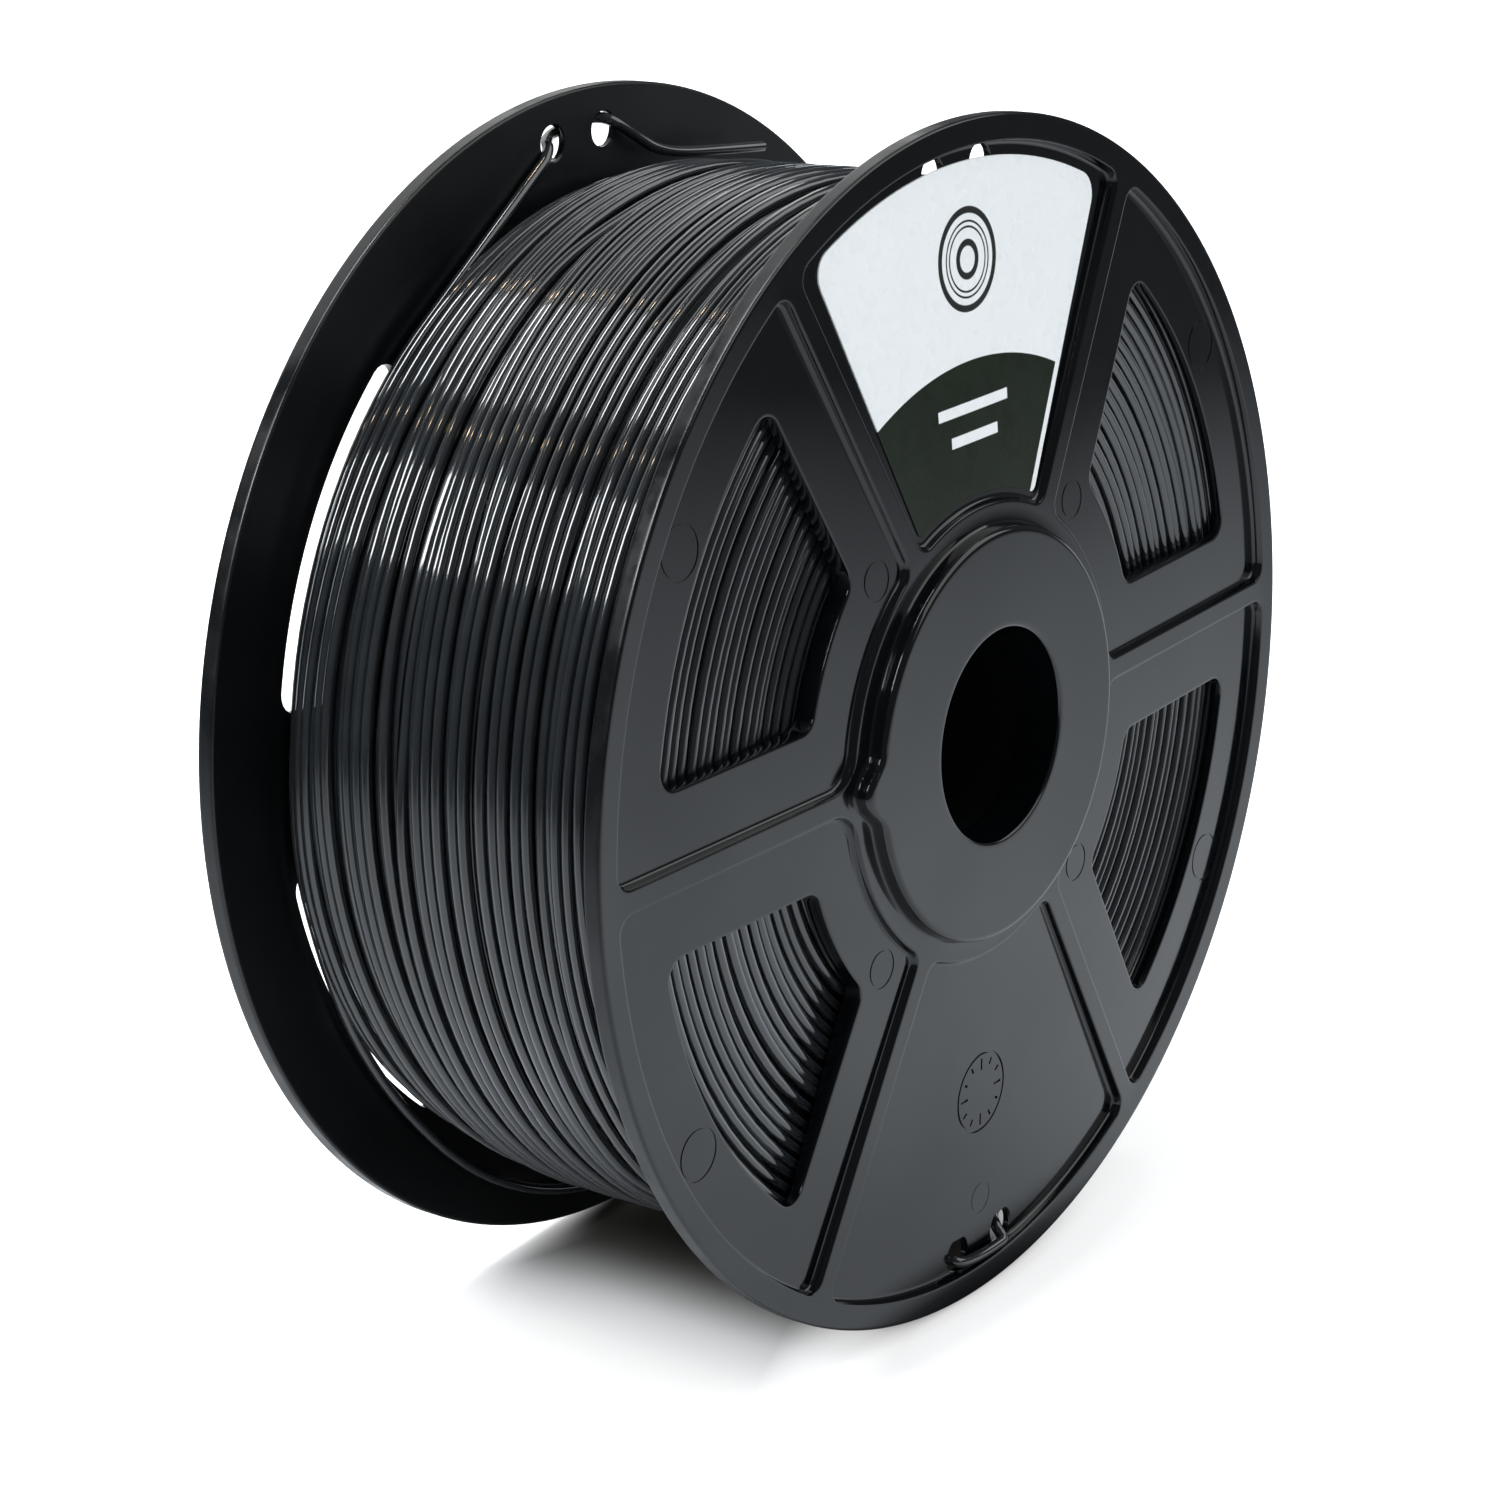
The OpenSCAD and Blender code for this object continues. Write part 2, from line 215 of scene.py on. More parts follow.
def turned(x, y, angle):
    """A flat point turned about the origin."""
    return (x * math.cos(angle) - y * math.sin(angle), x * math.sin(angle) + y * math.cos(angle))


def circle_points(radius, height, count, centre=(0, 0)):
    """Points of a level circle, counterclockwise from +x."""
    return [(*polar(radius, math.radians(360 * i / count), centre), height) for i in range(count)]


def rounded_corner(before, corner, after, radius, pieces):
    """Points of an arc that rounds the corner of an outline of (r, z) points."""
    a, c, b = (np.array(p, float) for p in (before, corner, after))
    u, v = (a - c) / np.linalg.norm(a - c), (b - c) / np.linalg.norm(b - c)
    half = math.acos(float(np.clip(u @ v, -1, 1))) / 2
    centre = c + (u + v) / np.linalg.norm(u + v) * radius / math.sin(half)
    first, last = c + u * radius / math.tan(half), c + v * radius / math.tan(half)
    a0 = math.atan2(*(first - centre)[::-1])
    a1 = math.atan2(*(last - centre)[::-1])
    turn = (a1 - a0 + math.pi) % (2 * math.pi) - math.pi
    return [polar(radius, a0 + turn * i / pieces, centre) for i in range(pieces + 1)]


def rounded_profile(corners):
    """A profile of (r, z, rounding) corners with each rounding as a short arc."""
    points = []
    for i, (r, z, radius) in enumerate(corners):
        if radius and 0 < i < len(corners) - 1:
            points += rounded_corner(corners[i - 1][:2], (r, z), corners[i + 1][:2], radius, 4)
        else:
            points.append((r, z))
    return points


def to_metres(obj, place=None):
    """Stand a flat-drawn piece up at the front or the rear, and scale it down to metres."""
    if place:
        placed(obj, (math.pi / 2, 0, 0), (0, -INNER_HALF, 0))
    if place == "rear":
        placed(obj, (0, 0, math.pi))
    placed(obj, scale=MM)


def smooth(obj, degrees=32):
    """Shade an object smooth, but for edges that turn by more than so many degrees."""
    pick(obj)
    bpy.ops.object.shade_smooth_by_angle(angle=math.radians(degrees))


def coat(obj, finish):
    """Give an object one finish and no other."""
    obj.data.materials.clear()
    obj.data.materials.append(finish)


def cut(obj, cutter):
    """Take the cutter's shape out of obj."""
    pick(obj)
    boolean = obj.modifiers.new("cut", "BOOLEAN")
    boolean.operation = "DIFFERENCE"
    boolean.solver = "EXACT"
    boolean.object = cutter
    bpy.ops.object.modifier_apply(modifier="cut")
    bpy.data.objects.remove(cutter)


# %% [markdown]
# ## Finishes
# A finish is one shader with a few noise patterns in front of it. The patterns read Object
# coordinates, so they stay in place on the piece and pass from one face to the next. Numbers that
# are the same all over a surface are set on the shader itself.

# %% Node helpers
def fill(tree, made, inputs):
    """Give sockets of a node their values, or link another node's output to them."""
    for socket, value in inputs.items():
        if isinstance(value, bpy.types.NodeSocket):
            tree.links.new(value, made.inputs[socket])
        else:
            made.inputs[socket].default_value = value


def node(tree, kind, inputs=None, **settings):
    """Add a node with its settings and its inputs."""
    made = tree.nodes.new(kind)
    for key, value in settings.items():
        setattr(made, key, value)
    fill(tree, made, inputs or {})
    return made


def feed(tree, shader, **inputs):
    """Fill the shader's sockets, whose names are written with _ for a space."""
    fill(tree, shader, {socket.replace("_", " "): value for socket, value in inputs.items()})


def new_finish(name, **values):
    """A new material, its node tree, and its shader with the given values on its sockets."""
    material = bpy.data.materials.new(name)
    material.use_nodes = True
    tree = material.node_tree
    shader = tree.nodes["Principled BSDF"]
    feed(tree, shader, **values)
    return material, tree, shader


def own_place(tree):
    """Each point's place on its piece, in metres."""
    return node(tree, "ShaderNodeTexCoord").outputs["Object"]


def noise(tree, scale, detail):
    """A noise pattern in the piece's own coordinates. scale counts features in a metre."""
    return node(tree, "ShaderNodeTexNoise", {"Vector": own_place(tree), "Scale": scale,
                                             "Detail": detail}).outputs["Fac"]


def spread(tree, value, low, high, from_low=0.3, from_high=0.7, kind="LINEAR"):
    """Map a pattern onto the range from low to high."""
    inputs = {"Value": value, "From Min": from_low, "From Max": from_high, "To Min": low,
              "To Max": high}
    return node(tree, "ShaderNodeMapRange", inputs, interpolation_type=kind).outputs["Result"]


def ramp(tree, value, start, end, low=0.0, high=1.0):
    """A smooth step from low at start to high at end."""
    return spread(tree, value, low, high, start, end, "SMOOTHERSTEP")


def step(tree, length, start, end, low=0.0, high=1.0):
    """An even change from low to high between two lengths that are given in millimetres."""
    return spread(tree, length, low, high, start * MM, end * MM)


def uneven(tree, scale, detail, low, high):
    """A noise pattern that wanders between low and high."""
    return spread(tree, noise(tree, scale, detail), low, high)


def maths(tree, operation, a, b=0.0):
    """One step of arithmetic."""
    return node(tree, "ShaderNodeMath", {0: a, 1: b}, operation=operation).outputs["Value"]


def vector(tree, operation, *inputs):
    """One step of arithmetic with places."""
    made = node(tree, "ShaderNodeVectorMath", dict(enumerate(inputs)), operation=operation)
    return made.outputs["Value" if operation in ("LENGTH", "DOT_PRODUCT") else "Vector"]


def distance(tree, place, stretch):
    """Distance from the origin, with each axis stretched, or left out by a stretch of 0."""
    return vector(tree, "LENGTH", vector(tree, "MULTIPLY", place, stretch))


ALONG_AXIS, ROUND_AXIS = (0, 1, 0), (1, 0, 1)      # the spool's axis runs along y


def mixed_colour(tree, factor, first, second):
    """Blend two colours, each a triple or another node's output."""
    first, second = [(*c, 1) if isinstance(c, tuple) else c for c in (first, second)]
    inputs = {0: factor, 6: first, 7: second}
    return node(tree, "ShaderNodeMix", inputs, data_type="RGBA").outputs[2]


def mottled(tree, scale, detail, first, second):
    """Patches of two colours."""
    return mixed_colour(tree, uneven(tree, scale, detail, 0, 1), first, second)


def bump(tree, shader, height, depth, strength, under=None):
    """Tilt the shading by a pattern, over another bump if there is one."""
    inputs = {"Height": height, "Distance": depth, "Strength": strength}
    if under:
        inputs["Normal"] = under
    normal = node(tree, "ShaderNodeBump", inputs).outputs["Normal"]
    feed(tree, shader, Normal=normal)
    return normal


# %% [markdown]
# ### Moulded black plastic
# The flanges are injection moulded and half glossy. The mould's face gives them a very fine grain
# and slow waves, and handling leaves them slightly uneven in gloss. The faces towards the winding
# come matt out of the mould, and the edge of the rim is scuffed, so the finish finds both by their
# place on the piece: how far they lie from the spool's middle, and how far from its axis.

# %% Moulded black plastic
def moulded_plastic(name, dark, light):
    """Black plastic, in patches between two nearly black colours."""
    material, tree, shader = new_finish(name, IOR=1.5)
    handled = maths(tree, "ADD", uneven(tree, 70, 4, 0.06, 0.12), uneven(tree, 900, 2, -0.01, 0.02))
    from_middle = distance(tree, own_place(tree), ALONG_AXIS)
    matt = step(tree, from_middle, INNER_HALF + 0.05, INNER_HALF + 0.25, 0.26, 0)
    from_axis = distance(tree, own_place(tree), ROUND_AXIS)
    scuffs = maths(tree, "MULTIPLY", uneven(tree, 160, 4, 0.08, 0.32),
                   step(tree, from_axis, FLANGE_R - 0.3, FLANGE_R - 0.1))
    feed(tree, shader, Base_Color=mottled(tree, 45, 3, dark, light),
         Roughness=maths(tree, "ADD", handled, maths(tree, "MAXIMUM", matt, scuffs)),
         Specular_IOR_Level=uneven(tree, 18, 4, 0.40, 0.58))
    waves = bump(tree, shader, noise(tree, 55, 1), 0.0004, 0.05)
    bump(tree, shader, noise(tree, 2600, 3), 0.00001, 0.08, waves)
    print(name, "has", len(tree.nodes), "nodes")
    return material


flange_plastic = moulded_plastic("moulded_black_plastic", (0.0014, 0.0020, 0.0026),
                                 (0.0024, 0.0032, 0.0042))
barrel_plastic = moulded_plastic("barrel_black_plastic", (0.0012, 0.0016, 0.0020),
                                 (0.0020, 0.0024, 0.0030))

# %% [markdown]
# ### Filament
# The strand is extruded and cooled in water, so it is smoother and glossier than the flanges, and a
# shade lighter. Its gloss wavers a little along its length.

# %% Filament
filament_finish, tree, shader = new_finish("dark_grey_filament", IOR=1.55, Coat_Weight=0.5,
                                           Coat_Roughness=0.04, Coat_IOR=1.5)
feed(tree, shader, Roughness=uneven(tree, 150, 2, 0.085, 0.125),
     Base_Color=mottled(tree, 120, 3, (0.0085, 0.0100, 0.0115), (0.0130, 0.0150, 0.0170)))
bump(tree, shader, noise(tree, 220, 2), 0.00004, 0.08)
print(filament_finish.name, "has", len(tree.nodes), "nodes")

# %% [markdown]
# ### Label
# The label is coated paper: pale above a curved border and dark green below it. It carries no
# words, only a plain ring sign on the pale part and two blank bars on the green. All of these are
# arcs and straight lines, so distances draw them crisply, without an image: from the spool's axis
# for the border, from a centre for the rings, and along the label for the bars.

# %% Tools for printing the label
PRINT_EDGE = 0.06              # half the width of a printed edge's blur, in millimetres


def within(tree, length, limit):
    """1 where a length of either sign is under the limit in millimetres."""
    length = maths(tree, "ABSOLUTE", length)
    return step(tree, length, limit - PRINT_EDGE, limit + PRINT_EDGE, 1, 0)


def along(tree, place, x, z, shift=0.0):
    """Distance in metres along a direction in the label's plane, less a shift in millimetres."""
    return maths(tree, "SUBTRACT", vector(tree, "DOT_PRODUCT", place, (x, 0, z)), shift * MM)


def any_of(tree, prints):
    """1 where any of the prints is 1."""
    result = prints[0]
    for more in prints[1:]:
        result = maths(tree, "MAXIMUM", result, more)
    return result


# %% Label
LABEL_HALF_ANGLE = 26.8        # from the label's middle line to its straight side, in degrees
LABEL_BORDER_R = 55.6
PALE_SIDE = 2.5                # the green ends this far from the radius along the right side
SIGN_CENTRE = (0.5, 70)        # sideways and up from the axis
SIGN_RINGS = ((7.0, 0.50), (5.4, 0.16), (4.6, 0.16), (2.4, 0.50))    # radius and half width
BARS = ((49.0, 9.0), (44.6, 6.0))      # height and half length
BAR_HALF_WIDTH = 0.8

label_finish, tree, shader = new_finish("two_tone_label", IOR=1.4)
place = own_place(tree)
flat_place = vector(tree, "MULTIPLY", place, ROUND_AXIS)
paper = mottled(tree, 25, 2, (0.800, 0.830, 0.845), (0.820, 0.850, 0.865))
green = mottled(tree, 60, 3, (0.0026, 0.0080, 0.0006), (0.0042, 0.0115, 0.0014))
# the green stops a little before the label's right side, which leaves a pale edge there
side = math.radians(90 - LABEL_HALF_ANGLE)
from_side = along(tree, place, -math.sin(side), math.cos(side))
is_green = maths(tree, "MULTIPLY", within(tree, vector(tree, "LENGTH", flat_place), LABEL_BORDER_R),
                 step(tree, from_side, PALE_SIDE, PALE_SIDE + 2 * PRINT_EDGE))
# a plain sign for a spool seen from its end: the flange's edge, two turns of strand and the bore
centre = (SIGN_CENTRE[0] * MM, 0, SIGN_CENTRE[1] * MM)
from_centre = vector(tree, "LENGTH", vector(tree, "SUBTRACT", flat_place, centre))
sign = any_of(tree, [within(tree, maths(tree, "SUBTRACT", from_centre, ring * MM), half_width)
                     for ring, half_width in SIGN_RINGS])
bars = any_of(tree, [maths(tree, "MULTIPLY", within(tree, along(tree, place, 1, 0), half_length),
                           within(tree, along(tree, place, 0, 1, height), BAR_HALF_WIDTH))
                     for height, half_length in BARS])
two_tone = mixed_colour(tree, is_green, paper, green)
signed = mixed_colour(tree, sign, two_tone, (0.018, 0.020, 0.020))
feed(tree, shader, Base_Color=mixed_colour(tree, bars, signed, paper),
     Roughness=uneven(tree, 300, 3, 0.24, 0.32))
bump(tree, shader, noise(tree, 1500, 3), 0.00002, 0.15)
print(label_finish.name, "has", len(tree.nodes), "nodes")

# %% [markdown]
# ## Flanges
# A flange is a disc with six shallow pockets between six ribs, a raised hub and a bore tube. Cutting
# pockets out of a disc with booleans would leave sharp edges and long slivers. Instead each sixth of
# the disc is one strip of rings: from the sector's border over the rib's rounded edge, down the
# pocket's sloping wall and fillet to its floor, and through the window to the back.
# All six sixths and the hub and rim then share their border points and are welded.

# %% Outlines of pockets and windows
ARC_OUT, ARC_IN, SIDE, CORNER = 30, 24, 14, 6      # edges of each stretch of an outline


def arc(centre, radius, start, end, count):
    """Points along an arc, without its last."""
    return [polar(radius, start + (end - start) * i / count, centre) for i in range(count)]


def straight(start, end, count):
    """Points along a line, without its last."""
    return [(start[0] + (end[0] - start[0]) * i / count, start[1] + (end[1] - start[1]) * i / count)
            for i in range(count)]


def sector_outline(r_in, r_out, inset, corner_out, corners_in, half_angle=math.pi / RIBS):
    """Outline of a sector about +x with rounded corners, as flat points, counterclockwise from the
    start of its outer arc. corners_in gives the two inner roundings, lower side first."""
    low, high = corners_in
    ro, rl, rh = r_out - corner_out, r_in + low, r_in + high
    # angles from the middle line to the middles of the corners' roundings
    ao, al, ah = [half_angle - math.asin((inset + corner) / r)
                  for r, corner in ((ro, corner_out), (rl, low), (rh, high))]
    out_hi, out_lo, in_hi, in_lo = polar(ro, ao), polar(ro, -ao), polar(rh, ah), polar(rl, -al)
    side = half_angle + math.pi / 2
    points = arc((0, 0), r_out, -ao, ao, ARC_OUT)
    points += arc(out_hi, corner_out, ao, side, CORNER)
    points += straight(polar(corner_out, side, out_hi), polar(high, side, in_hi), SIDE)
    points += arc(in_hi, high, side, ah + math.pi, CORNER)
    points += arc((0, 0), r_in, ah, -al, ARC_IN)
    points += arc(in_lo, low, math.pi - al, 2 * math.pi - side, CORNER)
    points += straight(polar(low, -side, in_lo), polar(corner_out, -side, out_lo), SIDE)
    points += arc(out_lo, corner_out, -side, -ao, CORNER)
    return points


def border_outline(r_out, inner_radius):
    """The border of a sixth of the disc, point for point beside a pocket's outline. inner_radius
    takes the angle from the sixth's middle line."""
    half_angle = math.pi / RIBS
    arc_n, in_n, side_n = ARC_OUT + CORNER, ARC_IN + CORNER, SIDE + CORNER
    r_hi, r_lo = inner_radius(half_angle), inner_radius(-half_angle)
    points = arc((0, 0), r_out, -half_angle, half_angle, arc_n)
    points += [polar(r_out + (r_hi - r_out) * i / side_n, half_angle) for i in range(side_n)]
    for i in range(in_n):
        angle = half_angle - 2 * half_angle * i / in_n
        points.append(polar(inner_radius(angle), angle))
    points += [polar(r_lo + (r_out - r_lo) * i / side_n, -half_angle) for i in range(side_n)]
    half = CORNER // 2
    return points[half:] + points[:half]


# %% [markdown]
# The hub has one locating nose, beside the rib on the left. The ledge round the hub bulges with it,
# so two of the pockets get a wider rounding there.

# %% The nose
NOSE_OUT = 3.6
NOSE_HALF = math.radians(10.5)


def nose_reach(angle, out, half_width):
    """How far the nose stands out beyond the hub at this angle, which is pi at its middle."""
    away = abs(angle % (2 * math.pi) - math.pi)
    return out * math.cos(math.pi / 2 * away / half_width) ** 2 if away < half_width else 0


def ledge_radius(angle):
    """Where the ledge round the hub ends and the ribs begin."""
    return LEDGE_R + 0.2 + nose_reach(angle, 2.4, NOSE_HALF * 1.35)


# %% One sixth of a flange
def at_height(outline, height):
    """Lay a flat outline at a height, which may be a function of the distance from the axis."""
    return [(x, y, height(math.hypot(x, y)) if callable(height) else height) for x, y in outline]


def on_floor(outline, lift):
    """Lay a flat outline on a pocket's sloping floor, and lift it off by so much."""
    return at_height(outline, lambda r: floor_height(r) + lift)


def drawn_in(outline, middle, share):
    """A flat outline made smaller towards a point on its middle line."""
    return [(middle + (x - middle) * share, y * share) for x, y in outline]


RIM_BORDER_R = 87.5            # where the sixths meet the rim
BACK_R = 35                    # where they meet the hub's back
POCKET_CORNER, WINDOW_CORNER = 2.6, 3
POCKET_MIDDLE = 61             # a closed pocket's floor and back close up towards this radius


def pocket_sixth(name, middle, window, corners_in):
    """One sixth of the flange round a pocket, whose middle line points at the given angle."""
    turn = math.radians(middle)
    border = border_outline(RIM_BORDER_R, lambda a: ledge_radius(a + turn))
    back_border = border_outline(RIM_BORDER_R, lambda a: BACK_R)

    def outline(widen):
        return sector_outline(LEDGE_R + 1.0 - widen, RIM_IN_R + widen, RIB_W / 2 - widen,
                              POCKET_CORNER + widen, [c + widen for c in corners_in])

    def opening(widen):
        corner = WINDOW_CORNER + widen
        return sector_outline(WINDOW_R[0] - widen, WINDOW_R[1] + widen, WINDOW_SIDE - widen,
                              corner, (corner, corner))

    rings = [at_height(border, top_height)]
    # the rib's rounded edge, then the drafted wall, then the fillet at its foot
    for widen, drop in ((0.45, 0), (0.22, 0), (0.10, 0.04), (0.02, 0.14)):
        rings.append(at_height(outline(widen), lambda r: top_height(r) - drop))
    for widen, lift in ((-0.10, 0.50), (-0.22, 0.22), (-0.42, 0.06), (-0.72, 0), (-0.95, 0)):
        rings.append(on_floor(outline(widen), lift))
    if window:
        # through the window, whose edges are slightly rounded on both faces
        for widen, drop in ((0.5, 0), (0.25, 0), (0.09, 0.05), (0.0, 0.22)):
            rings.append(on_floor(opening(widen), -drop))
        for widen, height in ((0.0, 0.22), (0.09, 0.05), (0.25, 0), (0.5, 0)):
            rings.append(at_height(opening(widen), height))
        rings.append(at_height(back_border, 0))
        parts = [ring_strip(name, rings)]
    else:
        last = outline(-0.95)
        for share in (0.8, 0.6, 0.4, 0.2, 0.06):
            rings.append(on_floor(drawn_in(last, POCKET_MIDDLE, share), 0))
        back = [at_height(back_border, 0), at_height(drawn_in(back_border, POCKET_MIDDLE, 0.5), 0)]
        parts = [ring_strip(name, rings, cap_last=True),
                 ring_strip(name + "_back", back, cap_last=True)]
    for part in parts:
        placed(part, (0, 0, turn))
    return parts


# %% [markdown]
# The rim and the hub are turned shapes: rings of points laid along a rounded profile. The hub's
# rings bulge where the nose is.

# %% Rim and hub
def rim_part():
    """The flange's outermost ring, with both its edges rounded."""
    beside = FLANGE_R - 0.8
    profile = rounded_profile([(RIM_BORDER_R, RIM_T, 0), (beside, RIM_T, 0), (FLANGE_R, RIM_T, 0.45),
                               (FLANGE_R, RIM_T - 0.8, 0), (FLANGE_R, 0.8, 0), (FLANGE_R, 0, 0.45),
                               (beside, 0, 0), (RIM_BORDER_R, 0, 0)])
    count = RIBS * (ARC_OUT + CORNER)
    return ring_strip("rim", [circle_points(r, z, count) for r, z in profile])


def hub_part(spigot):
    """From the ledge's border over the hub, through the bore and round the tube and collar. The
    front flange's tube ends in a spigot, and the rear one's in a socket for it."""
    count = RIBS * (ARC_IN + CORNER)
    angles = [2 * math.pi * i / count for i in range(count)]

    def ring(radius, height, nose=0.0, widen=1.0):
        return [(*polar(radius + nose_reach(a, nose, NOSE_HALF * widen), a), height) for a in angles]

    rings = [at_height([polar(ledge_radius(a), a) for a in angles], top_height)]
    # the fillet at the hub's foot, its wall and its rounded edge, all with the nose
    foot, brow = LEDGE_Z, HUB_Z
    for out, height in ((0.75, foot), (0.42, foot + 0.06), (0.18, foot + 0.28), (0.08, foot + 0.7)):
        rings.append(ring(HUB_R + out, height, NOSE_OUT, 1.05))
    for inward, height in ((0.0, brow - 0.85), (0.07, brow - 0.5), (0.28, brow - 0.22),
                           (0.58, brow - 0.05), (0.95, brow), (1.25, brow)):
        rings.append(ring(HUB_R - inward, height, NOSE_OUT * (1 - 0.10 * inward)))
    rings.append(ring(HUB_R - 4.2, brow))
    end = -(INNER_HALF - 0.15)
    step, beyond = (1, -3) if spigot else (1.15, 3.45)
    collar_in = COLLAR_R - COLLAR_WALL
    profile = rounded_profile(
        [(HUB_R - 4.3, brow, 0), (BORE_R + 1.1, brow, 0), (BORE_R, brow, 0.5),
         (BORE_R, brow - 1.1, 0), (BORE_R, end + beyond, 0), (BORE_R + step, end + beyond, 0),
         (BORE_R + step, end, 0), (TUBE_R, end, 0), (TUBE_R, 0, 0), (collar_in, 0, 0),
         (collar_in, -COLLAR_H, 0), (COLLAR_R, -COLLAR_H, 0), (COLLAR_R, 0, 0), (BACK_R, 0, 0)])
    rings += [circle_points(r, z, count) for r, z in profile]
    return ring_strip("hub", rings)


# %% [markdown]
# Small features are cut afterwards: the two pairs of tie holes, whose mouths are slightly broken,
# the faint round marks that the mould's ejector pins leave in the pockets, and the small plain dial
# that a mould carries for its date.

# %% Tie holes, ejector marks and dial
CUT_TOP = 0.4                  # a shallow cutter sticks out of a pocket's floor by this much


def tie_hole(obj, angle):
    """A hole right through the disc, with its edges broken by a quarter of a millimetre."""
    centre, floor = polar(TIE_HOLE_R, math.radians(angle)), floor_height(TIE_HOLE_R)
    half, mouth = TIE_HOLE_D / 2, TIE_HOLE_D / 2 + 0.35
    profile = [(mouth, -0.1), (half, 0.25), (half, floor - 0.25), (mouth, floor + 0.1),
               (mouth, floor + 0.12)]
    cutter = ring_strip("drill", [circle_points(r, z, 40, centre) for r, z in profile],
                        cap_first=True, cap_last=True)
    cut(obj, outward(cutter))


def groove_cutter(name, centre, outer, wall, depth, count):
    """A ring that cuts a round groove into a pocket's floor."""
    def loop(r, z):
        return on_floor([point[:2] for point in circle_points(r, 0, count, centre)], z)

    inner = outer - wall
    return ring_strip(name, [loop(outer, -depth), loop(inner, -depth), loop(inner, CUT_TOP),
                             loop(outer, CUT_TOP), loop(outer, -depth)])


def pin_mark(obj, radius, angle, width, depth=0.12):
    """The mark of an ejector pin: a fine round groove."""
    centre = polar(radius, math.radians(angle))
    cut(obj, outward(groove_cutter("pin", centre, width / 2, 0.32, depth, 48)))


def mould_dial(obj, radius, angle, width):
    """The plain dial that a mould carries for its date: a ring and twelve ticks, without figures."""
    centre = polar(radius, math.radians(angle))
    depth, half = 0.22, width / 2
    parts = [groove_cutter("ring", centre, half, 0.4, depth, 60)]
    for i in range(12):
        outer = half - 1.0
        inner = outer - (1.9 if i % 3 == 0 else 1.1)
        corners = [turned(u, v, math.radians(30 * i))
                   for u, v in ((outer, 0.2), (inner, 0.2), (inner, -0.2), (outer, -0.2))]
        corners = [(centre[0] + x, centre[1] + y) for x, y in corners]
        parts.append(ring_strip("tick", [on_floor(corners, z) for z in (-depth, CUT_TOP)],
                                cap_first=True, cap_last=True))
    cut(obj, joined("dial", parts))


# %% Both flanges
def flange(name, place):
    """One flange moulding, drawn flat and then stood up at the front or the rear."""
    parts = [rim_part(), hub_part(place == "front")]
    for middle in range(30, 360, 60):
        # beside the nose a pocket's inner corner is wider, and the upright pockets have no window
        wide = {150: (POCKET_CORNER, 5.5), 210: (5.5, POCKET_CORNER)}
        parts += pocket_sixth(f"sixth_{middle}", middle, middle not in (90, 270),
                              wide.get(middle, (POCKET_CORNER, POCKET_CORNER)))
    made = joined(name, parts)
    turn = TIE_TURN[place] * (1 if place == "front" else -1)
    for side in (-1, 1):
        for middle in (90, 270):
            tie_hole(made, middle + turn + side * TIE_HALF_ANGLE)
    for angle in (33, 147.4, 211, 329):
        pin_mark(made, 81.0, angle, 8.0)
    for angle in (48, 131.3, 226.7, 312.6):
        pin_mark(made, 39.1, angle, 6.0)
    pin_mark(made, 75.6, 270.4, 5.2, 0.05)
    mould_dial(made, 57.7, 270, 13)
    smooth(made)
    to_metres(made, place)
    coat(made, flange_plastic)
    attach(made, "root")
    print(name, "has", len(made.data.polygons), "faces")
    return made


front = flange("front_flange_moulding", "front")
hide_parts("front_flange")
rear = flange("rear_flange_moulding", "rear")
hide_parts("rear_flange")

# %% [markdown]
# ## Barrel
# The drum under the winding is hidden, so its CAD solid stays and gets the moulded plastic.

# %% Barrel
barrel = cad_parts["barrel"]
coat(barrel, barrel_plastic)
print("the barrel has", barrel_plastic.name)

# %% [markdown]
# ## The wound strand
# The outer layer is one strand of some thirty turns. Each turn lies beside the last, but no winder
# is perfect: turns bunch up, drift apart and show the layer below, and some sink between their
# neighbours, which close in over them. A slow random drift along the strand gives that look. Where
# two turns would then run into each other, they are pushed apart.

# %% The outer layer's path
WOUND_R = 80               # outside of the winding at its middle
CROWN, FRONT_CROWN = 5, 1.5    # how much lower it lies beside the rear and the front flange
WOUND_END_Y = INNER_HALF - 0.4 - STRAND_R
TURN_STEPS = 120           # points in one turn
LEAVE_ANGLE = 122.4        # where the strand leaves the winding for its tie hole


def eased(share):
    """Soften both ends of a change from 0 to 1."""
    return share * share * (3 - 2 * share)


def smoothed(values, width):
    """Even out a row of values over so many neighbours."""
    window = np.hanning(width)
    return np.convolve(values, window / window.sum(), "same")


def layer_radius(y):
    """Distance from the axis to the middle of the outer layer's strand."""
    crown = np.where(np.asarray(y) < 0, FRONT_CROWN, CROWN)
    return WOUND_R - STRAND_R - crown * (np.abs(y) / WOUND_END_Y) ** 4


def slow_drift(turns, reach, seed, knots=14):
    """A smooth random sideways drift for every point of the layer, of about this reach in
    millimetres. Neighbouring turns drift partly together."""
    random = np.random.default_rng(seed)
    own = random.normal(0, 1, (turns + 1, knots))
    shared = own.copy()
    shared[1:] = 0.72 * own[:-1] + 0.70 * own[1:]
    coarse = np.convolve(shared.reshape(-1), [0.25, 0.5, 0.25], "same")
    fine = np.interp(np.linspace(0, len(coarse) - 1, (turns + 1) * TURN_STEPS),
                     np.arange(len(coarse)), coarse)
    fine = smoothed(fine, 2 * TURN_STEPS // knots + 1)
    return fine[:turns * TURN_STEPS + 1] * reach / fine.std()


